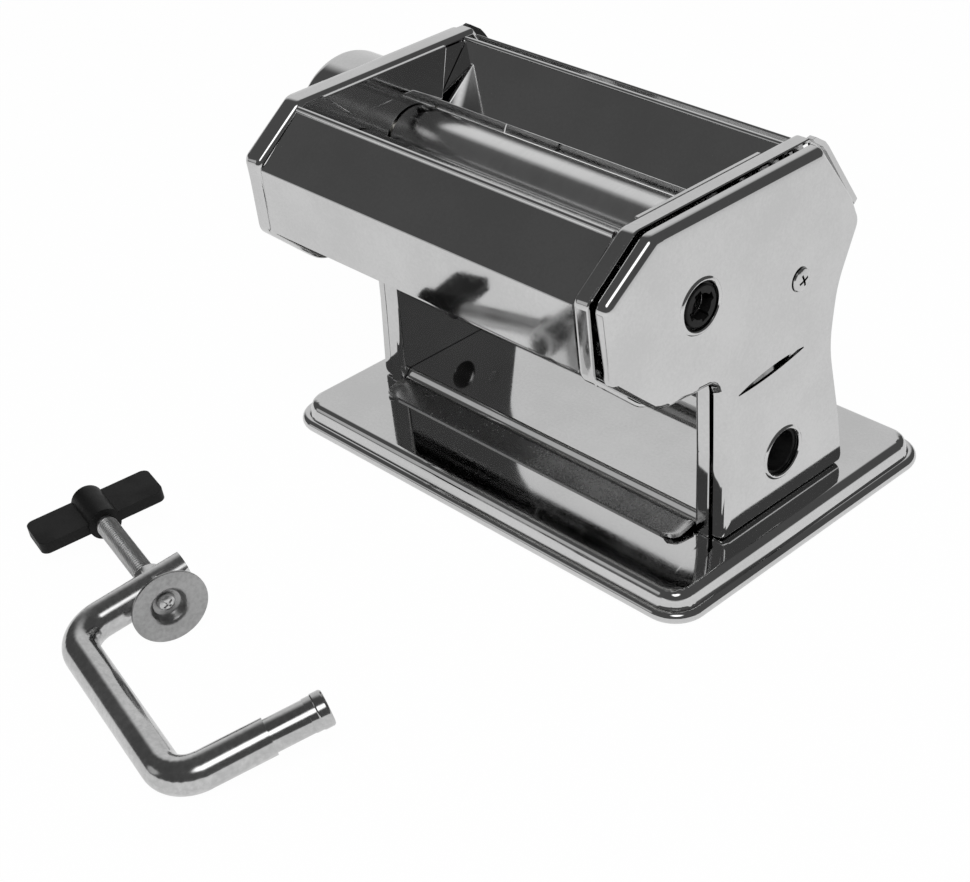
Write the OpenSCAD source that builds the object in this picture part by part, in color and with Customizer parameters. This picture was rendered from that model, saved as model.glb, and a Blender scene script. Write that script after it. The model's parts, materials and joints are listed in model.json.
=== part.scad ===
// Hand-cranked pasta roller machine with its loose table clamp beside it.
// Frame: X along the rollers, left to right; -Y is the front; Z is up.
// The origin is on the table, under the middle of the base. Millimetres.

/* [Base] */
// base length along the rollers
base_w = 206; // [190:1:220]
// base depth, front to back
base_d = 143; // [130:1:155]
// base height above the table
base_h = 11; // [9:0.5:14]
// base corner radius
base_r = 13; // [8:0.5:18]
// height the steel rim is held off the table by the feet
rim_lift = 0.5; // [0.3:0.1:1]
// foot radius
foot_r = 9; // [6:0.5:12]

/* [Body] */
// distance between the side plates
span_w = 152.4; // [145:0.1:160]
// sheet thickness
sheet = 1.2; // [1:0.1:1.5]
// side plate outer lip, from the middle plane
lip_x = 82.9; // [81:0.1:83]
// rim of the side cover, from the middle plane
rim_x = 84.1; // [83.5:0.1:85]
// flat face of the side cover, from the middle plane
face_x = 89.6; // [88:0.1:92]
// top of the side plates
top_z = 144.7; // [142:0.1:148]
// underside of the nose
nose_z = 79.3; // [76:0.1:84]

/* [Rollers] */
// roller radius
roll_r = 13.9; // [13:0.05:14.5]
// height of both roller axes
axis_z = 111.2; // [110:0.1:113]
// front, cranked roller axis
drive_y = -44.3; // [-46:0.1:-43]
// rear, adjustable roller axis at the finest setting
driven_y = -16; // [-18:0.1:-15]
// how far the rear roller moves back
open_t = 2; // [1:0.1:2.5]
// bearing neck radius
neck_r = 7; // [6:0.5:8]
// teeth on each gear
teeth = 12; // [10:1:16]

/* [Knob] */
// knob radius
knob_r = 25.7; // [20:0.1:28]
// knob outer end, from the middle plane
knob_x = 116.4; // [110:0.1:120]
// turn from the finest to the widest setting
knob_turn = 270; // [180:10:300]
// how far the knob pulls out
knob_pull = 4; // [3:0.5:5]

/* [Clamp] */
// rod radius
rod_r = 6.5; // [5:0.1:8]
// pin radius
pin_r = 5.7; // [5:0.1:7]
// length of the back of the clamp
back_l = 88.3; // [70:0.1:95]
// upper arm, corner to screw
arm_l = 33; // [28:0.1:40]
// lower arm, corner to pin tip
low_l = 51.5; // [45:0.5:60]
// how far the lower arm leans open
splay = 8; // [0:0.5:12]
// hole for the pin in the side of the machine
hole_r = 6.3; // [5.5:0.1:7.5]
// disc radius
disc_r = 13.9; // [12:0.1:16]
// width of the wing handle
wing_w = 49; // [40:1:60]

/* [Hidden] */
$fn = 32;
in_x = span_w / 2;
out_x = in_x + sheet;
gap = 0.3;

steel = [0.78, 0.79, 0.8];
dark = [0.12, 0.12, 0.13];
satin = [0.6, 0.61, 0.62];
nylon = [0.9, 0.9, 0.88];

// ---- outlines, as [y, z, corner radius] ----

// back edge shared by the side plate and the cover, drawn in by d
function back_edge(d, top, foot) = [[34.9 - top, 119 - top / 7, 6], [38.2 - d, 109.5, 5],
    [27.8 - d, 88.5, 40], [24.6 - d, 66, 50], [31.5 - d, 33, 60], [34 - d, foot, 0.6]];

frame_pts = concat([[-89.5, 128.4, 4], [-67.5, top_z, 7], [18.3, top_z, 1.5]],
    back_edge(0, 0, base_h), [[-33.2, base_h, 0.6], [-32.6, 45, 20], [-32.8, nose_z, 8],
    [-65.2, nose_z, 14], [-87.7, 99.8, 6]]);

rim_pts = concat([[-87.2, 127.2, 4], [-65.2, 143.4, 6], [17.8, 143.4, 2]],
    back_edge(0, 0, base_h + gap), [[-32, base_h + gap, 1], [-31.6, 45, 20], [-31.6, 77.3, 8],
    [-46, 77.3, 14], [-61.5, 78.2, 13], [-84, 98.4, 5]]);

face_pts = concat([[-79, 121.4, 3], [-58.1, 137.4, 4], [17.4, 136.6, 1.5]],
    back_edge(0.5, 2.2, 15.4), [[-29.4, 15.4, 4], [-25.8, 48, 40], [-28, 86.4, 11],
    [-44, 88, 16], [-62, 97.6, 14], [-77.4, 108.4, 4]]);

function unit(v) = v / norm(v);
function left(v) = [-v[1], v[0]];
function wrap(p, i) = p[(i + len(p)) % len(p)];
function flat(v) = [v[0], v[1]];

// outlines run clockwise seen from +X, so the inside is to the right
function inset(p, d) = [for (i = [0:len(p) - 1])
    let (a = -left(unit(flat(wrap(p, i)) - flat(wrap(p, i - 1)))),
        b = -left(unit(flat(wrap(p, i + 1)) - flat(wrap(p, i)))),
        t = cross(a, b) > 0 ? d : -d,
        q = flat(p[i]) + (a + b) * d / (1 + a * b))
    [q[0], q[1], max(0.3, p[i][2] + t)]];

// same number of points for every outline: steps + 1 per corner
function rounded(p, steps) = [for (i = [0:len(p) - 1])
    let (v = flat(p[i]),
        a = unit(flat(wrap(p, i - 1)) - v),
        b = unit(flat(wrap(p, i + 1)) - v),
        half = acos(max(-1, min(1, a * b))) / 2,
        t = p[i][2] / tan(half),
        c = v + unit(a + b) * p[i][2] / sin(half),
        s = v + a * t - c,
        e = v + b * t - c,
        turn = 180 - 2 * half,
        way = cross(s, e) > 0 ? 1 : -1)
    for (k = [0:steps])
        let (g = way * turn * k / steps)
        c + [s[0] * cos(g) - s[1] * sin(g), s[0] * sin(g) + s[1] * cos(g)]];

function blend(a, b, t) = [for (i = [0:len(a) - 1]) a[i] * (1 - t) + b[i] * t];

// a solid through rings of equal length, each ring at its own x
// both ends fan out from the point hub, which sees every corner of the outline
module loft(rings, xs, hub) {
    n = len(rings[0]);
    m = len(rings);
    polyhedron(
        points = concat(
            [for (k = [0:m - 1]) for (p = rings[k]) [xs[k], p[0], p[1]]],
            [[xs[0], hub[0], hub[1]], [xs[m - 1], hub[0], hub[1]]]),
        faces = concat(
            [for (i = [0:n - 1]) [m * n, (i + 1) % n, i]],
            [for (k = [0:m - 2]) for (i = [0:n - 1])
                [k * n + i, (k + 1) * n + (i + 1) % n, (k + 1) * n + i]],
            [for (k = [0:m - 2]) for (i = [0:n - 1])
                [k * n + i, k * n + (i + 1) % n, (k + 1) * n + (i + 1) % n]],
            [for (i = [0:n - 1]) [m * n + 1, (m - 1) * n + i, (m - 1) * n + (i + 1) % n]]),
        convexity = 6);
}

// an outline in the y-z plane, standing from x0 to x1
module wall(p, x0, x1) {
    translate([x0, 0, 0])
        rotate([90, 0, 90])
            linear_extrude(x1 - x0)
                polygon(p);
}

module rod_x(y, z, r, x0, x1, fn = 32) {
    translate([x0, y, z])
        rotate([0, 90, 0])
            cylinder(r = r, h = x1 - x0, $fn = fn);
}

module on_left() {
    mirror([1, 0, 0])
        children();
}

module both_sides() {
    children();
    on_left()
        children();
}

// ---- base ----

module rim_section() {
    translate([2.4, rim_lift + 2.4])
        difference() {
            circle(r = 2.4, $fn = 24);
            circle(r = 1.2, $fn = 16);
        }
    polygon([[3.1, rim_lift + 4.1], [3.9, base_h - 3.4], [4.6, base_h - 1.5], [5.6, base_h - 0.45],
        [7, base_h], [base_r - 1, base_h], [base_r - 1, base_h - sheet], [7, base_h - sheet],
        [6.2, base_h - 1.6], [5.5, base_h - 2.4], [5, base_h - 3.9], [4.2, rim_lift + 3.6]]);
}

module base_side(length, offset_y) {
    translate([-length / 2, -offset_y, 0])
        rotate([90, 0, 90])
            linear_extrude(length)
                rim_section();
}

module base_plate() {
    color(steel)
        difference() {
            union() {
                for (s = [0, 180])
                    rotate([0, 0, s])
                        base_side(base_w - 2 * base_r, base_d / 2);
                for (s = [90, 270])
                    rotate([0, 0, s])
                        base_side(base_d - 2 * base_r, base_w / 2);
                for (q = [[1, 1, 0], [-1, 1, 90], [-1, -1, 180], [1, -1, 270]])
                    translate([q[0] * (base_w / 2 - base_r), q[1] * (base_d / 2 - base_r), 0])
                        rotate([0, 0, q[2]])
                            rotate_extrude(angle = 90, $fn = 48)
                                translate([base_r, 0])
                                    mirror([1, 0])
                                        rim_section();
                translate([0, 0, base_h - sheet / 2])
                    cube([base_w - 2 * base_r + 2, base_d - 2 * base_r + 2, sheet], center = true);
                for (s = [-1, 1])
                    translate([s * (base_w / 2 - base_r + 1) - (s > 0 ? 3 : -3), 0, base_h - sheet / 2])
                        cube([12, base_d - 2 * base_r, sheet], center = true);
                for (s = [-1, 1])
                    translate([0, s * (base_d / 2 - base_r - 1), base_h - sheet / 2])
                        cube([base_w - 2 * base_r, 12, sheet], center = true);
                for (x = [-1, 1], y = [-1, 1])
                    translate([x * (base_w / 2 - base_r), y * (base_d / 2 - base_r), base_h - sheet])
                        cylinder(r = 3, h = sheet);
            }
            base_holes(2.1);
        }
}

module base_holes(r) {
    for (x = [-1, 1], y = [-20, 22])
        translate([x * 79.8, y, base_h - 3])
            cylinder(r = r, h = 6, $fn = 24);
}

module rubber_feet() {
    color(dark)
        for (p = [[-82, -50], [82, -50], [82, 50], [-82, 50], [0, 0]])
            translate([p[0], p[1], 0]) {
                cylinder(r1 = foot_r - 1, r2 = foot_r, h = 1.5, $fn = 40);
                translate([0, 0, 1.5])
                    cylinder(r = foot_r, h = base_h - sheet - 1.5, $fn = 40);
            }
}

module base_screws() {
    color(satin)
        for (x = [-1, 1], y = [-20, 22])
            translate([x * 79.8, y, 0]) {
                translate([0, 0, base_h - sheet - 2.8])
                    difference() {
                        cylinder(r = 4.6, h = 2.8, $fn = 28);
                        for (a = [0, 90])
                            rotate([0, 0, a])
                                translate([-2.6, -0.5, -1])
                                    cube([5.2, 1, 2.5]);
                    }
                translate([0, 0, base_h - sheet])
                    cylinder(r = 2, h = 5, $fn = 24);
            }
}

// ---- side frames ----

module slot_cut() {
    translate([in_x - 1, driven_y - 10.3, axis_z - 10.15])
        cube([sheet + 2, 20.6 + open_t, 20.3]);
    translate([in_x - 1, driven_y - 6.3, axis_z - 22])
        cube([sheet + 2, 12.6 + open_t, 14]);
}

// plate and lip in one skin, with a bend of the given outer radius between them
module pan(p, x0, x1, bend) {
    steps = 4;
    angles = [90, 67.5, 45, 22.5, 0];
    outer = [for (a = angles) rounded(inset(p, bend * (1 - cos(a))), steps)];
    rim_in = rounded(inset(p, sheet), steps);
    edge = rounded(inset(p, 0.35), steps);
    loft(concat([for (i = [0:4]) outer[i]], [outer[4], edge, rim_in, rim_in,
            rounded(inset(p, sheet + 0.8), steps)]),
        concat([for (a = angles) x0 + bend * (1 - sin(a))], [x1 - 0.35, x1, x1, x0 + sheet + 0.8, x0 + sheet]),
        [-2, 104]);
}

module side_frame() {
    difference() {
        union() {
            difference() {
                pan(frame_pts, in_x, lip_x, 2.2);
                // the lip stops short at the cutter rail and down the back
                translate([out_x, 18, base_h - 1])
                    cube([6, 30, 140]);
            }
            translate([out_x - 0.5, -31, base_h])
                cube([5.8, 62, sheet]);
        }
        rod_x(drive_y, axis_z, 9.5, in_x - 1, out_x + 1, 40);
        rod_x(-0.5, 33.5, hole_r, in_x - 1, out_x + 1, 40);
        for (p = [[-72, 104], [12, 120], [16, 42]])
            rod_x(p[0], p[1], 2.6, in_x - 1, out_x + 1, 24);
        slot_cut();
        translate([0, 0, 0.5])
            base_holes(2);
    }
}

module right_side_frame() {
    color(steel)
        side_frame();
}

module left_side_frame() {
    color(steel)
        on_left()
            side_frame();
}

module tie_rods() {
    color(satin)
        for (p = [[-72, 104], [12, 120], [16, 42]]) {
            rod_x(p[0], p[1], 4, -in_x, in_x, 28);
            rod_x(p[0], p[1], 2.5, -out_x - 5, out_x + 5, 24);
        }
}

module tie_rod_nuts() {
    color(satin)
        both_sides()
            for (p = [[-72, 104], [12, 120], [16, 42]])
                difference() {
                    translate([out_x, p[0], p[1]])
                        rotate([0, 90, 0])
                            cylinder(r = 4.6, h = 4, $fn = 6);
                    rod_x(p[0], p[1], 2.5, out_x - 1, out_x + 6, 24);
                }
}

// ---- side covers ----

module lens(x0, x1) {
    // narrow pressed opening, fullest in the middle
    long = 17.4;
    high = 1.7;
    up = [for (i = [-6:6]) [long * i / 6, 0.25 + high * (1 - pow(i / 6, 2))]];
    down = [for (i = [6:-1:-6]) [long * i / 6, -0.25 - 0.6 * high * (1 - pow(i / 6, 2))]];
    translate([0, -7.8, 70.1])
        rotate([5.5, 0, 0])
            wall(concat(up, down), x0, x1);
}

module cover_shell() {
    steps = 5;
    low = rounded(rim_pts, steps);
    high = rounded(face_pts, steps);
    low_in = rounded(inset(rim_pts, sheet), steps);
    high_in = rounded(inset(face_pts, 0.6), steps);
    h = face_x - rim_x;
    // pressed shoulder: how far in, how high and how thick
    dome = [[0, 0.12, 0.1], [0.03, 0.45, 0.25], [0.1, 0.66, 0.5], [0.22, 0.8, 0.7], [0.4, 0.9, 0.85],
        [0.62, 0.955, 1], [0.85, 0.985, 1.1]];
    inner = [for (i = [len(dome) - 1:-1:1]) dome[i]];
    // down the inside, round the rim and up the outside, in one skin
    loft(concat([high_in], [for (q = inner) blend(low_in, high_in, q[0])], [low_in, low_in, low],
            [for (q = dome) blend(low, high, q[0])], [high]),
        concat([face_x - sheet], [for (q = inner) rim_x + q[1] * h - q[2]], [rim_x + 0.7, rim_x, rim_x],
            [for (q = dome) rim_x + q[1] * h], [face_x]),
        [-2, 104]);
}

module ring_lip(y, z, r) {
    // rolled edge round a hole in the cover
    translate([face_x - 0.1, y, z])
        rotate([0, 90, 0])
            rotate_extrude($fn = 40)
                polygon([[r, -1.1], [r + 1.6, -1.1], [r + 1.6, 0.1], [r + 1.25, 0.5], [r + 0.8, 0.75],
                    [r + 0.35, 0.6], [r, 0.2]]);
}

module screw_seat(y, z) {
    translate([face_x, y, z])
        rotate([0, 90, 0]) {
            translate([0, 0, -sheet])
                cylinder(r1 = 2.6, r2 = 5.3, h = sheet + 0.01, $fn = 32);
            translate([0, 0, -4])
                cylinder(r = 2.6, h = 5, $fn = 24);
        }
}

module cover_body() {
    difference() {
        union() {
            cover_shell();
            ring_lip(-0.5, 33.5, 8.8);
        }
        rod_x(-0.5, 33.5, 8.8, face_x - 4, face_x + 2, 40);
        screw_seat(7, 99.1);
        lens(face_x - 4, face_x + 1);
    }
}

module right_side_cover() {
    color(steel)
        difference() {
            union() {
                cover_body();
                ring_lip(drive_y, axis_z, 8.6);
            }
            rod_x(drive_y, axis_z, 8.6, face_x - 4, face_x + 2, 40);
        }
}

module left_side_cover() {
    color(steel)
        on_left()
            difference() {
                cover_body();
                rod_x(driven_y, axis_z, 6.2, face_x - 4, face_x + 2, 40);
            }
}

module clamp_sleeves() {
    color(nylon)
        both_sides()
            difference() {
                rod_x(-0.5, 33.5, 10, out_x + 0.05, face_x - sheet - 0.3, 40);
                rod_x(-0.5, 33.5, 7.6, out_x - 1, face_x, 40);
            }
}

module cover_posts() {
    color(satin)
        both_sides()
            difference() {
                rod_x(7, 99.1, 4.5, out_x, face_x - sheet, 28);
                rod_x(7, 99.1, 2, out_x + 2, face_x, 24);
            }
}

module cover_screws() {
    color(satin)
        both_sides()
            difference() {
                union() {
                    translate([face_x, 7, 99.1])
                        rotate([0, 90, 0]) {
                            rotate_extrude($fn = 36)
                                polygon([[0, -1.1], [2.5, -1.1], [4.3, 0], [4.3, 0.25], [4, 0.6],
                                    [3.1, 0.95], [1.7, 1.2], [0, 1.3]]);
                        }
                    rod_x(7, 99.1, 2, out_x + 3, face_x - 1, 24);
                }
                for (a = [20, 110])
                    translate([face_x - 0.6, 7, 99.1])
                        rotate([a, 0, 0])
                            translate([0, -2.3, -0.45])
                                cube([3, 4.6, 0.9]);
            }
}

// ---- sheet parts between the plates ----

module front_cover() {
    w = in_x - gap;
    color(steel)
        union() {
            wall([[-69.6, 141.4], [-88.2, 126.4], [-88.6, 125.6], [-87.2, 102], [-86.2, 102],
                [-87.6, 125.3], [-87.4, 125.8], [-69, 140.6]], -w, w);
            rod_x(-68.9, 142, 1.3, -w, w, 20);
            wall([[-87.2, 101], [-85.2, 101], [-85.2, 106], [-86, 106], [-86.1, 102], [-87.2, 102.2]], -w, w);
            both_sides()
                wall([[-86.8, 104], [-85, 104], [-78, 112], [-78, 124], [-87, 124.6]], w - 1, w);
        }
}

module hopper_guard() {
    w = in_x - gap;
    color(steel)
        union() {
            wall([[12.4, 142.6], [-3.6, 124], [-3, 123.4], [13.2, 142]], -w, w);
            rod_x(13.2, 142.2, 1.1, -w, w, 20);
            wall([[12.8, 141.4], [15.6, 141.4], [15.6, 128], [14.8, 128], [14.8, 140.6], [13, 140.6]], -w, w);
        }
}

module rear_cover() {
    w = in_x - gap;
    color(steel)
        wall([[18.6, 142.6], [33.8, 118.8], [36.6, 109.4], [31, 97.2], [30.2, 97.6], [35.7, 109.4],
            [33, 118.4], [17.9, 142.1]], -w, w);
}

module center_panel() {
    w = in_x - gap;
    bend = 5.4;
    z = base_h;
    // quarter bend between the panel and its foot
    outer = [for (a = [0:15:90]) [-22.3 - bend + bend * cos(a), z + bend - bend * sin(a)]];
    inner = [for (a = [90:-15:0]) [-22.3 - bend + (bend - 1.1) * cos(a), z + bend - (bend - 1.1) * sin(a)]];
    color(steel)
        union() {
            wall(concat([[-22.3, 83.4], [-14, 87.3], [-13.6, 88.2], [-23.4, 84.2]], [[-23.4, z + bend]],
                [for (i = [1:6]) [inner[6 - i][0], inner[6 - i][1]]], [[-31, z + 1.1], [-31, z]],
                [for (i = [6:-1:0]) outer[i]]), -w, w);
            translate([4.5 - w, -42.5, z])
                cube([2 * w - 9, 9, 1.1]);
            translate([-w, -38, z])
                cube([2 * w, 8, 1.1]);
            for (x = [4.5 - w, w - 4.5])
                translate([x, -38, z])
                    cylinder(r = 4.5, h = 1.1, $fn = 40);
            // the ends of the foot turn up a little
            both_sides()
                translate([w - 3, -40.5, z + 0.4])
                    rotate([0, -32, 0])
                        cube([3.2, 9.5, 1.1]);
        }
}

module dough_guide() {
    color(steel)
        union() {
            wall([[-58, 143.6], [-45, 131.6], [-16.4, 131.6], [1.6, 142.6], [1.6, 143.6]],
                in_x - 1.9, in_x - 0.9);
            translate([in_x - 1.9, -58, 142.7])
                cube([1.6, 59.6, 0.9]);
            // folded corner toward the hopper
            hull()
                for (p = [[in_x - 1.9, -16.4, 131.6], [in_x - 1.9, 1, 142.4], [in_x - 5, -5.6, 125.4]])
                    translate(p)
                        cube([1, 0.6, 0.6]);
        }
}

module right_dough_guide() {
    dough_guide();
}

module left_dough_guide() {
    on_left()
        dough_guide();
}

module cutter_rail() {
    x = lip_x - 2;
    color(dark)
        union() {
            wall([[20.6, 138.4], [18.8, 144.2], [20.6, 144.5], [25.6, 141], [27.6, 138.6], [44.4, 113.2],
                [42.8, 110.9], [39.8, 112.4], [33, 112]], x, x + 1.2);
            // outer edge folded outward, with a claw at the top
            wall([[18.8, 144.2], [20.6, 144.5], [25.8, 141.1], [27.8, 138.7], [45, 112.8], [43.4, 111.2],
                [26.6, 137], [24.6, 139.6], [20.2, 142.6]], x, x + 2.6);
            wall([[34, 117], [35.6, 114.4], [31, 112], [30, 116]], out_x, x + 0.1);
            wall([[22.6, 134.5], [24.4, 135.7], [26, 133.2], [24.2, 131.8]], out_x, x + 0.1);
        }
}

module right_cutter_rail() {
    cutter_rail();
}

module left_cutter_rail() {
    on_left()
        cutter_rail();
}

module front_scraper() {
    color(nylon)
        union() {
            wall([[-50, 88], [-38, 88], [-38, 92], [-42.6, 93.4], [-43.6, 96.9], [-44.8, 96.9], [-46, 92.6], [-50, 92]],
                -in_x + 0.4, in_x - 0.4);
        }
}

// ---- rollers and drive ----

module drive_bushes() {
    color(nylon)
        both_sides()
            difference() {
                union() {
                    rod_x(drive_y, axis_z, 9.5, in_x, out_x + 2.6, 40);
                    rod_x(drive_y, axis_z, 11.4, out_x, out_x + 1.4, 40);
                }
                rod_x(drive_y, axis_z, neck_r + 0.05, in_x - 1, lip_x + 1, 48);
            }
}

module drive_roller() {
    color(satin)
        difference() {
            union() {
                rod_x(drive_y, axis_z, roll_r, -75.4, 75.4, 64);
                rod_x(drive_y, axis_z, neck_r, -81, 86, 48);
            }
            rod_x(drive_y, axis_z, 4, -82, -60, 24);
            rod_x(drive_y, axis_z, 4.4, 66, 87, 32);
        }
}

module gear_section(n, phase) {
    pitch = 360 / n;
    root = 11.1;
    union() {
        circle(r = root, $fn = 48);
        for (i = [0:n - 1])
            rotate(i * pitch + phase)
                polygon([[root - 1, -2.6], [root + 0.4, -2.25], [12.8, -1.8], [14.15, -1.5], [15.1, -1.15],
                    [15.85, -0.7], [15.85, 0.7], [15.1, 1.15], [14.15, 1.5], [12.8, 1.8],
                    [root + 0.4, 2.25], [root - 1, 2.6]]);
    }
}

module gear(y, phase, r) {
    difference() {
        translate([80.6, y, axis_z])
            rotate([90, 0, 90])
                linear_extrude(4.6)
                    gear_section(teeth, phase);
        rod_x(y, axis_z, r, 79, 87, 48);
    }
}

module drive_gear() {
    color(satin)
        gear(drive_y, 0, neck_r);
}

module crank_socket() {
    color(dark)
        difference() {
            union() {
                rod_x(drive_y, axis_z, 8.2, 86, 88.2, 48);
                rod_x(drive_y, axis_z, 7.4, 88.1, 89.4, 48);
                translate([89.4, drive_y, axis_z])
                    rotate([0, 90, 0])
                        cylinder(r1 = 7.4, r2 = 7, h = 0.4, $fn = 48);
            }
            rod_x(drive_y, axis_z, 4.6, 85, 92, 32);
            for (a = [20, 110])
                translate([85.9, drive_y, axis_z])
                    rotate([a, 0, 0])
                        translate([0.2, -5.7, -1.6])
                            cube([6, 11.4, 3.2]);
        }
}

module block() {
    difference() {
        union() {
            translate([in_x + 0.2, driven_y - 10, axis_z - 10])
                cube([4, 20, 20]);
            translate([in_x + 0.2, driven_y - 6, axis_z - 21.6])
                cube([4, 12, 14]);
            translate([out_x + 0.3, driven_y - 12, axis_z - 12.4])
                cube([1.5, 24, 24.8]);
        }
        rod_x(driven_y, axis_z, neck_r + 0.05, in_x - 1, 82, 48);
        rod_x(driven_y, axis_z - 19, 1.6, in_x - 1, 82, 20);
    }
}

module bearing_blocks() {
    color(nylon) {
        block();
        on_left() {
            block();
            // follower the cam bears on
            translate([out_x + 1, driven_y - 12, axis_z - 3.5])
                cube([6.4, 3.2, 7]);
        }
    }
}

module carrier_bar() {
    color(satin)
        difference() {
            translate([-in_x - 0.2, driven_y - 6, axis_z - 21.6])
                cube([2 * in_x + 0.4, 12, 4.2]);
            both_sides()
                rod_x(driven_y, axis_z - 19, 1.5, in_x - 9, in_x + 1, 20);
        }
}

module carrier_screws() {
    color(satin)
        both_sides() {
            rod_x(driven_y, axis_z - 19, 1.5, in_x - 8, in_x + 4.2, 20);
            rod_x(driven_y, axis_z - 19, 2.4, in_x + 4.2, in_x + 5.8, 24);
        }
}

module rear_scraper() {
    color(nylon)
        wall([[driven_y - 6, axis_z - 17.4], [driven_y + 6, axis_z - 17.4], [driven_y + 6, axis_z - 16.4],
            [driven_y + 0.8, axis_z - 16], [driven_y + 0.2, axis_z - 14.3], [driven_y - 0.8, axis_z - 14.3],
            [driven_y - 2.4, axis_z - 16], [driven_y - 6, axis_z - 16.4]], -in_x + 0.6, in_x - 0.6);
}

module driven_roller() {
    color(satin)
        union() {
            rod_x(driven_y, axis_z, roll_r, -75.4, 75.4, 64);
            rod_x(driven_y, axis_z, neck_r, -80.4, 86, 48);
        }
}

module driven_gear() {
    color(satin)
        gear(driven_y, 180 / teeth, neck_r);
}

// ---- thickness knob, on the left ----

module knob_bush() {
    color(nylon)
        on_left()
            difference() {
                union() {
                    rod_x(driven_y, axis_z, 6.2, face_x - sheet - 1.6, face_x + 1.2, 40);
                    rod_x(driven_y, axis_z, 8, face_x - sheet - 1.6, face_x - sheet, 40);
                }
                rod_x(driven_y, axis_z, 4.05, face_x - 5, face_x + 3, 32);
            }
}

module index_ring() {
    color(dark)
        on_left()
            difference() {
                rod_x(driven_y, axis_z, 18, face_x, face_x + 1.2, 56);
                rod_x(driven_y, axis_z, 6.2, face_x - 1, face_x + 3, 40);
                for (i = [0:9])
                    translate([face_x + 0.3, driven_y, axis_z])
                        rotate([90 + i * knob_turn / 9, 0, 0])
                            translate([0, 14, 0])
                                rotate([0, 90, 0])
                                    cylinder(r = 2.1, h = 3, $fn = 24);
            }
}

module knob_shaft() {
    color(satin)
        on_left()
            difference() {
                union() {
                    rod_x(driven_y, axis_z, 4, face_x - 8, knob_x - 12.4, 32);
                    rod_x(driven_y, axis_z, 2.5, knob_x - 12.4, knob_x - 4, 24);
                }
                // flat the knob slides on
                translate([face_x + 4, driven_y - 5, axis_z + 3.1])
                    cube([knob_x - 12.4 - face_x - 4 + 1, 10, 3]);
            }
}

module knob_cam() {
    // the lobe falls off evenly as the knob turns, so equal clicks give equal steps
    lobe = [for (a = [0:9:knob_turn])
        let (r = 8.5 - open_t * a / knob_turn)
        [r * cos(180 + a), r * sin(180 + a)]];
    heel = [for (p = [[6.2, 115], [6.4, 140], [7.4, 165]]) [p[0] * cos(p[1]), p[0] * sin(p[1])]];
    color(satin)
        difference() {
            translate([-face_x + 4.2, driven_y, axis_z])
                rotate([90, 0, 90])
                    linear_extrude(2.4)
                        polygon(concat(lobe, heel));
            rod_x(driven_y, axis_z, 4, -face_x, -face_x + 9, 32);
        }
}

module knob() {
    inner = face_x + 3.1;
    color(dark)
        on_left()
            difference() {
                translate([inner, driven_y, axis_z])
                    rotate([0, 90, 0])
                        rotate_extrude($fn = 72)
                            polygon([[0, 0], [knob_r - 1.2, 0], [knob_r - 0.3, 0.5], [knob_r, 1.6],
                                [knob_r, knob_x - inner - 3], [knob_r - 0.9, knob_x - inner - 0.9],
                                [knob_r - 3, knob_x - inner], [0, knob_x - inner]]);
                // shallow grips round the edge
                for (i = [0:23])
                    translate([inner + 5, driven_y, axis_z])
                        rotate([i * 15, 0, 0])
                            translate([0, knob_r + 0.6, 0])
                                rotate([0, 90, 0])
                                    cylinder(r = 1.3, h = 30, $fn = 16);
                difference() {
                    rod_x(driven_y, axis_z, 4.1, face_x, knob_x + 1, 32);
                    translate([inner + 1.4, driven_y - 5, axis_z + 3.2])
                        cube([knob_x - inner - 17.4, 10, 3]);
                }
                rod_x(driven_y, axis_z, 8, knob_x - 16, knob_x + 1, 40);
                translate([inner - 0.1, driven_y, axis_z])
                    rotate([90, 0, 0])
                        translate([0, 14, 0])
                            rotate([0, 90, 0])
                                cylinder(r = 1.6, h = 8, $fn = 24);
            }
}

module index_pin() {
    color(satin)
        on_left()
            translate([face_x + 1.5, driven_y, axis_z])
                rotate([90, 0, 0])
                    translate([0, 14, 0])
                        rotate([0, 90, 0]) {
                            cylinder(r1 = 1, r2 = 1.6, h = 0.6, $fn = 24);
                            translate([0, 0, 0.6])
                                cylinder(r = 1.6, h = 8.9, $fn = 24);
                        }
}

// a round wire wound along X
module coil(r, wire, turns, length) {
    n = 14 * turns;
    sides = 8;
    polyhedron(
        points = [for (i = [0:n]) for (k = [0:sides - 1])
            let (a = 360 * turns * i / n, q = r + wire * cos(360 * k / sides))
            [length * i / n + wire * sin(360 * k / sides), q * cos(a), q * sin(a)]],
        faces = concat(
            [[for (k = [0:sides - 1]) k]],
            [for (i = [0:n - 1]) for (k = [0:sides - 1])
                [i * sides + k, (i + 1) * sides + k, (i + 1) * sides + (k + 1) % sides]],
            [for (i = [0:n - 1]) for (k = [0:sides - 1])
                [i * sides + k, (i + 1) * sides + (k + 1) % sides, i * sides + (k + 1) % sides]],
            [[for (k = [sides - 1:-1:0]) n * sides + k]]),
        convexity = 8);
}

module knob_spring() {
    color(satin)
        translate([-knob_x + 7.1, driven_y, axis_z])
            coil(6.1, 0.6, 4, 8.2);
}

module shaft_nut() {
    color(satin)
        on_left()
            difference() {
                union() {
                    rod_x(driven_y, axis_z, 7.4, knob_x - 6.4, knob_x - 5.2, 40);
                    translate([knob_x - 5.2, driven_y, axis_z])
                        rotate([0, 90, 0])
                            cylinder(r = 4.6, h = 3.2, $fn = 6);
                }
                rod_x(driven_y, axis_z, 2.5, knob_x - 9, knob_x - 1, 24);
            }
}

// ---- loose clamp, lying on the table ----

// the back lies on the table and the arms rise until the disc's rim rests on it too
rise = asin((disc_r - rod_r) / arm_l);

// local frame: X along the back, Y along the arms, Z out of its plane
module clamp_place() {
    translate([-46.6, -214.1, rod_r])
        rotate([0, 0, -13.4])
            rotate([rise, 0, 0])
                children();
}

module bend(r, a) {
    rotate_extrude(angle = a, $fn = 72)
        translate([r, 0])
            circle(r = rod_r, $fn = 40);
}

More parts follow.
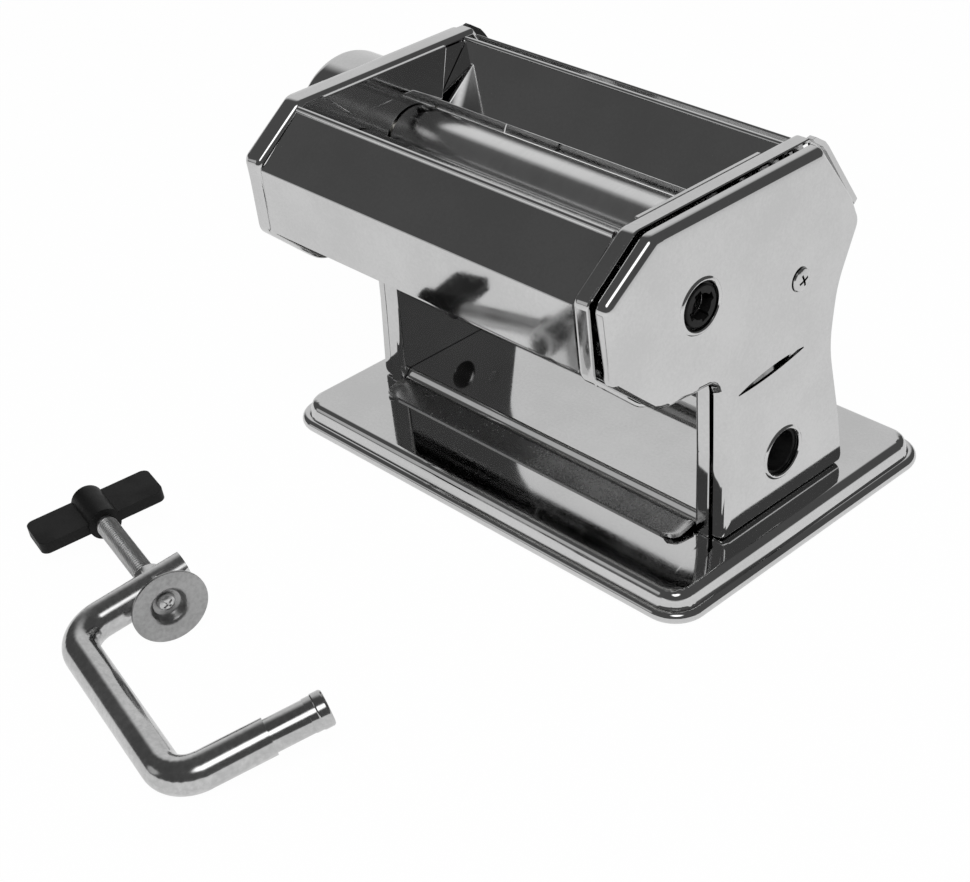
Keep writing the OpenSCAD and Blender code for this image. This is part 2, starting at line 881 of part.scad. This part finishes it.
module rod_y(x, z, r, y0, y1, fn = 40) {
    translate([x, y0, z])
        rotate([-90, 0, 0])
            cylinder(r = r, h = y1 - y0, $fn = fn);
}

module clamp_rod() {
    br = 12;
    // where the lower bend starts, from its corner
    t = br * tan((90 - splay) / 2);
    color(steel)
        clamp_place()
            difference() {
                union() {
                    translate([br, br, 0])
                        rotate([0, 0, 180])
                            bend(br, 90);
                    rod_x(0, 0, rod_r, br, back_l - t, 40);
                    translate([back_l - t, br, 0])
                        rotate([0, 0, 270])
                            bend(br, 90 - splay);
                    translate([back_l, 0, 0])
                        rotate([0, 0, -splay]) {
                            rod_y(0, 0, rod_r - 0.04, t - 0.5, low_l - 18.5);
                            rod_y(0, 0, pin_r, low_l - 19, low_l - 4.5);
                            rod_y(0, 0, pin_r + 0.2, low_l - 5, low_l - 0.6);
                            rod_y(0, 0, pin_r - 0.4, low_l - 0.7, low_l);
                        }
                    // upper arm pressed flat where the screw runs through
                    intersection() {
                        rod_y(0, 0, rod_r, br, arm_l + 12.6);
                        hull() {
                            translate([-10, 0, -9])
                                cube([20, 1, 18]);
                            translate([-10, 16, -9])
                                cube([20, 1, 18]);
                            translate([-4.9, arm_l - 6, -9])
                                cube([9.8, 20, 18]);
                        }
                    }
                    rod_x(arm_l, 0, 6.2, -5.4, 5.4, 40);
                }
                rod_x(arm_l, 0, 4.15, -12, 12, 40);
                // open end of the upper arm
                translate([0, arm_l + 7.6, 0])
                    scale([0.74, 1, 1])
                        rod_y(0, 0, 5, 0, 6);
                translate([back_l, 0, 0])
                    rotate([0, 0, -splay])
                        rod_y(0, 0, 2.4, low_l - 2.5, low_l + 1, 28);
            }
}

module clamp_screw() {
    color(satin)
        clamp_place() {
            rod_x(arm_l, 0, 3.4, -54, 8.6, 32);
            for (i = [0:41])
                translate([-44.6 + i * 1.25, arm_l, 0])
                    rotate([0, 90, 0])
                        cylinder(r1 = 3.35, r2 = 3.95, h = 0.62, $fn = 28);
        }
}

module clamp_handle() {
    half = wing_w / 2;
    color(dark)
        clamp_place()
            translate([-55.5, arm_l, 0])
                rotate([-7, 0, 0])
                    difference() {
                        union() {
                            translate([-5.6, -half, -2.2])
                                cube([11.2, wing_w, 4.4]);
                            translate([-8.6, 3 - half, -2.2])
                                cube([17.2, wing_w - 6, 4.4]);
                            for (x = [-5.6, 5.6], y = [3 - half, half - 3])
                                translate([x, y, -2.2])
                                    cylinder(r = 3, h = 4.4, $fn = 32);
                            rod_x(0, 0, 6.2, -9, 9.6, 48);
                            translate([-9, 0, 0])
                                rotate([0, -90, 0])
                                    cylinder(r1 = 6.2, r2 = 5.2, h = 0.7, $fn = 48);
                        }
                        rod_x(0, 0, 3.4, 1.5, 12, 32);
                    }
}

module clamp_disc() {
    color(satin)
        clamp_place()
            translate([9.5, arm_l, 0])
                rotate([0, 90, 0])
                    difference() {
                        rotate_extrude($fn = 64)
                            polygon([[2.2, -0.6], [3.9, -0.6], [5.8, 0.3], [7.2, 2.4], [8, 3.1], [disc_r, 3.4],
                                [disc_r, 4.4], [7.8, 4.1], [6.6, 3.4], [5.1, 1], [3.6, 0.4], [2.2, 0.4]]);
                        translate([0, 0, -2])
                            cylinder(r = 2.1, h = 8, $fn = 24);
                    }
}

module disc_rivet() {
    color(satin)
        clamp_place()
            translate([8.6, arm_l, 0])
                rotate([0, 90, 0])
                    difference() {
                        rotate_extrude($fn = 36)
                            polygon([[0, 0], [2.1, 0], [2.1, 1.4], [3.3, 1.4], [3.3, 1.9], [2.9, 2.6],
                                [1.8, 3.1], [0, 3.3]]);
                        for (a = [25, 115])
                            rotate([0, 0, a])
                                translate([-2, -0.4, 2.2])
                                    cube([4, 0.8, 3]);
                    }
}

base_plate();
rubber_feet();
base_screws();
left_side_frame();
right_side_frame();
left_side_cover();
right_side_cover();
clamp_sleeves();
cover_posts();
cover_screws();
tie_rods();
tie_rod_nuts();
front_cover();
hopper_guard();
rear_cover();
center_panel();
left_dough_guide();
right_dough_guide();
left_cutter_rail();
right_cutter_rail();
front_scraper();
drive_bushes();
drive_roller();
drive_gear();
crank_socket();
bearing_blocks();
carrier_bar();
carrier_screws();
rear_scraper();
driven_roller();
driven_gear();
knob_bush();
index_ring();
knob_shaft();
knob_cam();
knob();
index_pin();
knob_spring();
shaft_nut();
clamp_rod();
clamp_screw();
clamp_handle();
clamp_disc();
disc_rivet();
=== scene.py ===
import json
import math

import bpy
from mathutils import Matrix, Vector


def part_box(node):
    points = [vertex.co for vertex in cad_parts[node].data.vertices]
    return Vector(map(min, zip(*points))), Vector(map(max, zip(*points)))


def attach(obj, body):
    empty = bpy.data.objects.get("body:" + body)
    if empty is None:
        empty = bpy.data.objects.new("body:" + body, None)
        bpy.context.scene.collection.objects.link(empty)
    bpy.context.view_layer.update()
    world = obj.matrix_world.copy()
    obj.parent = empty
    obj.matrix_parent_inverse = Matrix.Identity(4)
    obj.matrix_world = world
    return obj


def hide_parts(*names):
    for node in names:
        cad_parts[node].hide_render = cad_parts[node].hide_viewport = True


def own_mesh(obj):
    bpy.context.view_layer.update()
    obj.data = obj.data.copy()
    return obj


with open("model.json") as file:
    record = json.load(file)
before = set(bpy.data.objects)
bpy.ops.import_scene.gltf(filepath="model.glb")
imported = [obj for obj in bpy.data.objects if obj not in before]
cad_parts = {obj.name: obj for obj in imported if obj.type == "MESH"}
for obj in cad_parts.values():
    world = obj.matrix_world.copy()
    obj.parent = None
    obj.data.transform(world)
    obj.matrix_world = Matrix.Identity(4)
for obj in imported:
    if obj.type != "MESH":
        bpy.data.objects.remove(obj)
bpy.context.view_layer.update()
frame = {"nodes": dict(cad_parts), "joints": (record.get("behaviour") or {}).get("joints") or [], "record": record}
nodes = frame["nodes"]


# ---------------------------------------------------------------- places of the frame, in mm
def corners_of(node):
    """The lowest and the highest corner of a CAD node at rest."""
    low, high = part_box(node)
    return low * 1000, high * 1000


def entry_of(entries, name):
    """The entry with this name in a list of mounts or joints."""
    return next(entry for entry in entries if entry["name"] == name)


pin = entry_of(frame["record"]["mounts"], "clamp_pin")
pin_start, pin_way = [1000 * place for place in pin["pos_m"]], pin["axis"]
spindle = entry_of(frame["joints"], "driven_spin")
spindle_y, spindle_z = [1000 * place for place in spindle["pos_m"][1:]]
panel_low, panel_high = corners_of("center_panel")
knob_low, knob_high = corners_of("knob")
spring_low, spring_high = corners_of("knob_spring")
plate_x = corners_of("right_side_frame")[0].x
guide_x = corners_of("right_dough_guide")[1].x


# ---------------------------------------------------------------- node helpers
class Tree:
    """A node tree with short calls for the few nodes that the materials use."""

    def __init__(self, owner):
        owner.use_nodes = True
        self.tree = owner.node_tree
        self.tree.nodes.clear()

    def add(self, kind, **values):
        node = self.tree.nodes.new(kind)
        for key, value in values.items():
            setattr(node, key, value)
        return node

    def join(self, source, target):
        self.tree.links.new(source, target)

    def put(self, socket, value):
        if isinstance(value, bpy.types.NodeSocket):
            self.join(value, socket)
        else:
            socket.default_value = value

    def math(self, operation, a, b=0.0, clamp=False):
        node = self.add("ShaderNodeMath", operation=operation, use_clamp=clamp)
        self.put(node.inputs[0], a)
        self.put(node.inputs[1], b)
        return node.outputs[0]

    def remap(self, value, low, high, to_low=0.0, to_high=1.0, smooth=True):
        node = self.add("ShaderNodeMapRange")
        node.interpolation_type = "SMOOTHSTEP" if smooth else "LINEAR"
        self.put(node.inputs["Value"], value)
        limits = {"From Min": low, "From Max": high, "To Min": to_low, "To Max": to_high}
        for name, number in limits.items():
            self.put(node.inputs[name], number)
        return node.outputs[0]

    def place(self, scale):
        coords = self.add("ShaderNodeTexCoord")
        mapping = self.add("ShaderNodeMapping")
        mapping.inputs["Scale"].default_value = scale
        self.join(coords.outputs["Object"], mapping.inputs["Vector"])
        return mapping.outputs[0]

    def noise(self, scale, stretch=(1, 1, 1), detail=3.0, rough=0.55):
        node = self.add("ShaderNodeTexNoise")
        node.inputs["Scale"].default_value = scale
        node.inputs["Detail"].default_value = detail
        node.inputs["Roughness"].default_value = rough
        self.join(self.place(stretch), node.inputs["Vector"])
        return node.outputs["Fac"]

    def tint(self, factor, dark, light):
        node = self.add("ShaderNodeMix", data_type="RGBA")
        self.put(node.inputs["Factor"], factor)
        node.inputs["A"].default_value = (*dark, 1)
        node.inputs["B"].default_value = (*light, 1)
        return node.outputs["Result"]

    def bump(self, height, distance, strength=1.0, normal=None):
        node = self.add("ShaderNodeBump")
        node.inputs["Strength"].default_value = strength
        node.inputs["Distance"].default_value = distance
        self.put(node.inputs["Height"], height)
        if normal is not None:
            self.join(normal, node.inputs["Normal"])
        return node.outputs[0]


def surface(name):
    """A new material with a Principled shader, as (material, tree, shader)."""
    material = bpy.data.materials.new(name)
    tree = Tree(material)
    out = tree.add("ShaderNodeOutputMaterial")
    shader = tree.add("ShaderNodeBsdfPrincipled")
    tree.join(shader.outputs[0], out.inputs["Surface"])
    return material, tree, shader


def grey(value):
    return (value, value, value)


# ---------------------------------------------------------------- materials
def metal(name, dark, light, smooth, worn, wave=0.0, grain=0.0, grain_scale=900, stretch=(1, 1, 1)):
    """Bare or plated metal: cloudy colour, roughness that varies, a slow wave and a fine grain."""
    material, tree, shader = surface(name)
    shader.inputs["Metallic"].default_value = 1.0
    cloud = tree.noise(35, detail=5)
    fine = tree.noise(grain_scale, stretch, detail=4, rough=0.6)
    mixed = tree.math("ADD", tree.math("MULTIPLY", cloud, 0.6), tree.math("MULTIPLY", fine, 0.4))
    colour = tree.tint(tree.remap(mixed, 0.35, 0.65), grey(dark), grey(light))
    tree.join(colour, shader.inputs["Base Color"])
    tree.join(tree.remap(mixed, 0.32, 0.68, smooth, worn), shader.inputs["Roughness"])
    normal = None
    if wave:
        normal = tree.bump(tree.noise(11, detail=1.0), wave)
    if grain:
        normal = tree.bump(fine, grain, normal=normal)
    if normal is not None:
        tree.join(normal, shader.inputs["Normal"])
    return material


def plastic(name, dark, light, smooth, worn, grain=0.00003, scale=1600, shine=0.5):
    """Moulded plastic or rubber with a fine skin, dulled a little where it is handled."""
    material, tree, shader = surface(name)
    cloud = tree.noise(60, detail=5)
    fine = tree.noise(scale, detail=3)
    mixed = tree.math("ADD", tree.math("MULTIPLY", cloud, 0.5), tree.math("MULTIPLY", fine, 0.5))
    tree.join(tree.tint(tree.remap(mixed, 0.38, 0.62), dark, light), shader.inputs["Base Color"])
    tree.join(tree.remap(cloud, 0.35, 0.65, smooth, worn), shader.inputs["Roughness"])
    tree.join(tree.bump(fine, grain), shader.inputs["Normal"])
    shader.inputs["Specular IOR Level"].default_value = shine
    return material


chrome = metal("chrome_sheet", 0.60, 0.66, 0.035, 0.085, wave=0.00010, grain=0.0000015)
rolled = metal("chrome_foot", 0.56, 0.64, 0.20, 0.30, grain=0.000003)
rod_chrome = metal("chrome_rod", 0.50, 0.68, 0.12, 0.20, grain=0.000004, grain_scale=500)
zinc = metal("zinc_plate", 0.56, 0.68, 0.24, 0.38, grain=0.000006, grain_scale=1100)
disc_steel = metal("disc_steel", 0.28, 0.44, 0.26, 0.42, grain=0.00001, grain_scale=700)
turned = (60, 3, 3)
satin = metal("satin_roller", 0.70, 0.82, 0.15, 0.24, grain=0.000004, grain_scale=60, stretch=turned)
thread_steel = metal("thread_steel", 0.72, 0.84, 0.34, 0.48, grain=0.000006, grain_scale=1100)
gear_steel = metal("gear_steel", 0.40, 0.50, 0.28, 0.42, grain=0.00001)
black = plastic("black_plastic", grey(0.004), grey(0.008), 0.38, 0.55, shine=0.2)
nylon = plastic("nylon", (0.62, 0.61, 0.57), (0.70, 0.69, 0.65), 0.35, 0.50)
rubber = plastic("rubber", grey(0.012), grey(0.024), 0.70, 0.88, grain=0.00008, scale=900)

# each slot of the record: its finish and the worked radius of its edges, in metres
finish_of = {
    "chrome": (chrome, 0.0003),
    "zinc": (zinc, 0.00015),
    "satin": (satin, 0.0002),
    "black_plastic": (black, 0.0004),
    "nylon": (nylon, 0.0002),
    "rubber": (rubber, 0.0004),
}
special = {
    "clamp_rod": rod_chrome,
    "clamp_disc": disc_steel,
    "clamp_screw": thread_steel,
    "drive_gear": gear_steel,
    "driven_gear": gear_steel,
}
# nodes that keep their edges as modelled
no_edge = {"clamp_screw", "knob_spring", "base_plate"}


def soften(piece, width, angle):
    """A small bevel on every edge sharper than an angle in degrees."""
    bevel = piece.modifiers.new("edge", "BEVEL")
    bevel.width = width
    bevel.segments = 3
    bevel.limit_method = "ANGLE"
    bevel.angle_limit = math.radians(angle)
    return bevel


def dress(name, node):
    """Gives a CAD node its material and a small worked radius on its sharp edges."""
    slot = node.material_slots[0].material.name.split(".")[0]
    finish, edge = finish_of[slot]
    for place in node.material_slots:
        place.material = special.get(name, finish)
    weld_gap = 0.000005
    weld = node.modifiers.new("weld", "WELD")
    weld.merge_threshold = weld_gap
    if name not in no_edge:
        bevel = soften(node, edge, 28)
        bevel.use_clamp_overlap = True
        bevel.harden_normals = False
    weighted = node.modifiers.new("shade", "WEIGHTED_NORMAL")
    weighted.weight = 60
    weighted.keep_sharp = False


for name, node in nodes.items():
    dress(name, node)


# ---------------------------------------------------------------- pieces of the scene
def new_piece(name, verts, faces, materials, smooth=True):
    """A mesh object from points in mm."""
    mesh = bpy.data.meshes.new(name)
    mesh.from_pydata([Vector(point) / 1000 for point in verts], [], faces)
    for material in materials:
        mesh.materials.append(material)
    for face in mesh.polygons:
        face.use_smooth = smooth
    piece = bpy.data.objects.new(name, mesh)
    bpy.context.collection.objects.link(piece)
    return piece


def tube_faces(rings, sides):
    """The faces of a tube of rings with as many sides, with a cap on both ends."""
    faces = []
    for row in range(rings - 1):
        for k in range(sides):
            a, b = row * sides + k, row * sides + (k + 1) % sides
            faces.append((a, b, b + sides, a + sides))
    faces.append(tuple(range(sides - 1, -1, -1)))
    faces.append(tuple(range((rings - 1) * sides, rings * sides)))
    return faces


def low_shelf(half, tip_y, tip_r):
    """The low shelf between the side plates: a flat with a step and a sloping foot on each long side."""
    tip_z, slope, top_z, middle_y = 12.1, 0.138, 16.7, 2
    foot = [tip_y + step for step in (0, 0.15, 0.6, 1.3, 2.1, 3.0, 6.5, 9.9)]
    front = [(y, tip_z + (y - tip_y) * slope) for y in foot]
    front += [(-31.9, 13.62), (-31.35, 13.8), (-30.85, 14.15), (-30.45, 14.65), (-30.1, 15.25)]
    front += [(-29.75, 15.85), (-29.35, 16.3), (-28.9, 16.58), (-28.4, top_z)]
    flat = [(-20, top_z), (middle_y, top_z), (24, top_z)]
    line = front + flat + [(2 * middle_y - y, z) for y, z in reversed(front)]
    last = len(line) - 1
    verts, faces = [], []
    # places across the shelf as shares of its half width; the ends of each foot turn up
    steps = [-1, -0.992, -0.98, -0.965, -0.94, -0.6, 0, 0.6, 0.94, 0.965, 0.98, 0.992, 1]
    turn_up, turn_from = 0.9, 0.955
    for row, (y, z) in enumerate(line):
        inset = min(abs(y - tip_y), abs(2 * middle_y - y - tip_y), tip_r)
        wide = half - tip_r + math.sqrt(tip_r ** 2 - (tip_r - inset) ** 2)
        on_foot = min(row, last - row) < len(foot)
        for k in steps:
            past = max(0.0, (abs(k) - turn_from) / (1 - turn_from))
            rise = turn_up * past ** 1.5 if on_foot else 0.0
            verts.append((k * wide, y, z + rise))
    columns = len(steps)
    for row in range(last):
        for k in range(columns - 1):
            a = row * columns + k
            faces.append((a, a + 1, a + columns + 1, a + columns))
    shelf = new_piece("low_shelf", verts, faces, (chrome, rolled))
    for face in shelf.data.polygons:
        row = face.index // (columns - 1)
        face.material_index = int(min(row, last - 1 - row) < len(foot) - 1)
    sheet_thick = 0.0011
    solid = shelf.modifiers.new("sheet", "SOLIDIFY")
    solid.thickness = sheet_thick
    solid.offset = -1
    soften(shelf, 0.0003, 40)
    shelf.modifiers.new("shade", "WEIGHTED_NORMAL")
    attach(shelf, "machine")
    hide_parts("center_panel")


low_shelf(panel_high.x, panel_low.y, 3.0)


def spin(name, line, origin, axis, material, segments=48):
    """A turned solid: the outline (along, radius) in mm, turned about an axis through the origin."""
    turn_z = Vector(axis).to_track_quat("Z", "X").to_matrix()
    verts = []
    for along_mm, radius in line:
        for k in range(segments):
            angle = 2 * math.pi * k / segments
            spot = turn_z @ Vector((radius * math.cos(angle), radius * math.sin(angle), along_mm))
            verts.append(Vector(origin) + spot)
    piece = new_piece(name, verts, tube_faces(len(line), segments), (material,))
    soften(piece, 0.0003, 35)
    piece.modifiers.new("shade", "WEIGHTED_NORMAL")
    return piece


rod_r, neck_r, neck_x = 4, 2.5, 81
neck = [(plate_x, neck_r), (neck_x, neck_r)]
plain_rod = [(-plate_x, rod_r), (plate_x, rod_r)]
shouldered_rod = [(-neck_x, neck_r), (-plate_x, neck_r), *plain_rod, *neck]
rod_places = [((-72, 104), shouldered_rod), ((12, 120), shouldered_rod), ((25, 24), plain_rod)]
for number, ((y, z), outline) in enumerate(rod_places):
    rod = spin(f"tie_rod_{number + 1}", outline, (0, y, z), (1, 0, 0), zinc, 32)
    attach(rod, "machine")
    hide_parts("tie_rods")
# the lower nuts stay where the CAD's third rod ends, and a stud fills each plate there
for side, word in ((-1, "left"), (1, "right")):
    stud = spin(f"{word}_lower_stud", neck, (0, 16, 42), (side, 0, 0), chrome, 24)
    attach(stud, "machine")


def corner_sheet(name, corners):
    """A thin sheet between four corners in mm, from the dough guide to the hopper guard."""
    sheet = new_piece(name, corners, [(0, 1, 2), (0, 2, 3)], (chrome,), smooth=False)
    sheet_thick = 0.0006
    solid = sheet.modifiers.new("sheet", "SOLIDIFY")
    solid.thickness = sheet_thick
    solid.offset = 0
    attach(sheet, "machine")


corner_x = guide_x - 0.9
corner_points = ((0.5, 142.3), (-6.0, 125.6), (-3.0, 125.2), (11.6, 142.2))
for side, word in ((-1, "left"), (1, "right")):
    corner_sheet(f"{word}_guide_corner", [(side * corner_x, y, z) for y, z in corner_points])

# the outline of the knob, as (distance out from the middle, radius)
back, face = -knob_high.x, -knob_low.x
bore_r, well_r, knob_r, well_deep = 4.2, 8.0, 25.7, 16
knob_line = [(back, bore_r), (back, 24.4), (back + 0.2, 25.1), (back + 0.8, 25.6), (back + 1.6, knob_r)]
knob_line += [(face - 3.8, knob_r), (face - 2.2, 25.4), (face - 1.0, 24.7), (face - 0.3, 23.7)]
knob_line += [(face, 22.5), (face, 8.6), (face - 0.4, well_r)]
knob_line += [(face - well_deep, well_r), (face - well_deep, bore_r)]
knob_look = spin("knob_body", knob_line, (0, spindle_y, spindle_z), (-1, 0, 0), chrome, 96)
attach(knob_look, "knob")
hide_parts("knob")


def spring_coil(name, start, radius, wire, turns, length):
    """A round-wire spring wound about a line along x, from a start point in mm."""
    rings, sides = turns * 24 + 1, 8
    verts = []
    for i in range(rings):
        share = i / (rings - 1)
        angle = 2 * math.pi * turns * share
        out_way = Vector((0, math.cos(angle), math.sin(angle)))
        run = Vector((length / (2 * math.pi * turns), -radius * math.sin(angle), radius * math.cos(angle)))
        side_way = run.normalized().cross(out_way)
        centre = Vector(start) + Vector((length * share, 0, 0)) + out_way * radius
        for k in range(sides):
            round_wire = 2 * math.pi * k / sides
            verts.append(centre + (out_way * math.cos(round_wire) + side_way * math.sin(round_wire)) * wire)
    return new_piece(name, verts, tube_faces(rings, sides), (zinc,))


# the spring is pressed between the knob and the nut on the spindle as the knob is pulled
coil_r, coil_wire, coil_turns = 6.1, 0.6, 4
coil_start = (spring_low.x + coil_wire, spindle_y, spindle_z)
coil_length = spring_high.x - spring_low.x - 2 * coil_wire
spring = spring_coil("spring_coil", coil_start, coil_r, coil_wire, coil_turns, coil_length)
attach(spring, "spindle")
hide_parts("knob_spring")
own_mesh(spring)

# the rounded collar near the end of the clamp's pin, as (distance along the pin, radius)
collar_line = [(8.9, 5.2), (9.2, 5.75), (9.5, 6.1), (9.9, 6.2), (12.6, 6.2), (13.1, 6.05), (13.45, 5.6)]
collar_line += [(13.5, 5.2)]
collar = spin("pin_collar", collar_line, pin_start, pin_way, rod_chrome)
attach(collar, "clamp")

# ---------------------------------------------------------------- floor
floor_mesh = bpy.data.meshes.new("floor")
reach, level = 3.0, -0.0003
corners = [(-reach, -reach, level), (reach, -reach, level), (reach, reach, level), (-reach, reach, level)]
floor_mesh.from_pydata(corners, [], [(0, 1, 2, 3)])
floor = bpy.data.objects.new("floor", floor_mesh)
bpy.context.collection.objects.link(floor)
floor_material = bpy.data.materials.new("floor_paper")
tree = Tree(floor_material)
out = tree.add("ShaderNodeOutputMaterial")
paper = tree.add("ShaderNodeBsdfDiffuse")
paper.inputs["Color"].default_value = (0.86, 0.86, 0.86, 1)
glow = tree.add("ShaderNodeEmission")
glow.inputs["Color"].default_value = (1, 1, 1, 1)
ray = tree.add("ShaderNodeLightPath")
mix = tree.add("ShaderNodeMixShader")
seen_share, mirrored_share = 0.985, 0.6
seen = tree.math("MULTIPLY", ray.outputs["Is Camera Ray"], seen_share)
mirrored = tree.math("MULTIPLY", ray.outputs["Is Glossy Ray"], mirrored_share)
tree.join(tree.math("MAXIMUM", seen, mirrored), mix.inputs["Fac"])
tree.join(paper.outputs[0], mix.inputs[1])
tree.join(glow.outputs[0], mix.inputs[2])
tree.join(mix.outputs[0], out.inputs["Surface"])
floor_mesh.materials.append(floor_material)

# ---------------------------------------------------------------- light
scene = bpy.context.scene
world = bpy.data.worlds.new("studio")
scene.world = world
tree = Tree(world)
out = tree.add("ShaderNodeOutputWorld")
coords = tree.add("ShaderNodeTexCoord")
axes = tree.add("ShaderNodeSeparateXYZ")
tree.join(coords.outputs["Generated"], axes.inputs[0])
# a bright wall behind and to the left, dimmer overhead, in a dark room with a pale ground
wall_level, room_level, ground_level = 0.66, 0.09, 0.75
behind = tree.remap(axes.outputs["Y"], 0.02, 0.30)
left = tree.remap(axes.outputs["X"], -0.15, -0.45)
low = tree.remap(axes.outputs["Z"], 0.70, 0.95, 1.0, 0.35)
panel = tree.math("MULTIPLY", tree.math("MULTIPLY", behind, left), low)
wall = tree.math("MULTIPLY", panel, wall_level)
ground = tree.remap(axes.outputs["Z"], 0.06, -0.02, 0.0, ground_level)
room = tree.math("MAXIMUM", tree.math("ADD", wall, room_level), ground)
# two soft lights: where each lies, the cosines at its rim and core, and its peak
glows = [((0.42, -0.40, 0.82), 0.955, 0.995, 2.2), ((-0.62, -0.73, 0.26), 0.972, 0.990, 0.45)]
for way, rim, core, peak in glows:
    toward = tree.add("ShaderNodeVectorMath", operation="DOT_PRODUCT")
    tree.join(coords.outputs["Generated"], toward.inputs[0])
    toward.inputs[1].default_value = Vector(way).normalized()
    room = tree.math("ADD", room, tree.remap(toward.outputs["Value"], rim, core, 0.0, peak))
ray = tree.add("ShaderNodeLightPath")
strength = tree.math("MAXIMUM", room, ray.outputs["Is Camera Ray"])
background = tree.add("ShaderNodeBackground")
background.inputs["Color"].default_value = (1, 1, 1, 1)
tree.join(strength, background.inputs["Strength"])
tree.join(background.outputs[0], out.inputs["Surface"])


def softbox(name, direction, distance, width, height, radiance, aim=(0, 0, 0.06)):
    """A rectangular lamp that looks at the object from a direction."""
    lamp = bpy.data.lights.new(name, "AREA")
    lamp.shape = "RECTANGLE"
    lamp.size = width
    lamp.size_y = height
    lamp.energy = math.pi * width * height * radiance
    holder = bpy.data.objects.new(name, lamp)
    bpy.context.collection.objects.link(holder)
    place = Vector(aim) + Vector(direction).normalized() * distance
    holder.location = place
    holder.rotation_euler = (Vector(aim) - place).to_track_quat("-Z", "Y").to_euler()
    return holder


softbox("key", (0.42, -0.40, 0.82), 1.4, 0.55, 0.55, 12).visible_glossy = False

# ---------------------------------------------------------------- camera
turn, tilt, roll = math.radians(48.05), math.radians(33.08), math.radians(-4.13)
right = Vector((math.cos(turn), math.sin(turn), 0))
back = Vector((math.sin(turn) * math.cos(tilt), -math.cos(turn) * math.cos(tilt), math.sin(tilt)))
up = back.cross(right)
across = right * math.cos(roll) + up * math.sin(roll)
along = up * math.cos(roll) - right * math.sin(roll)
pose = Matrix((across, along, back)).transposed().to_4x4()
pose.translation = Vector((0.4479, -0.4626, 0.4219))
camera_data = bpy.data.cameras.new("camera")
camera_data.sensor_width = 36
camera_data.lens = 73.3
camera = bpy.data.objects.new("camera", camera_data)
bpy.context.collection.objects.link(camera)
camera.matrix_world = pose
scene.camera = camera
scene.view_settings.view_transform = "Standard"
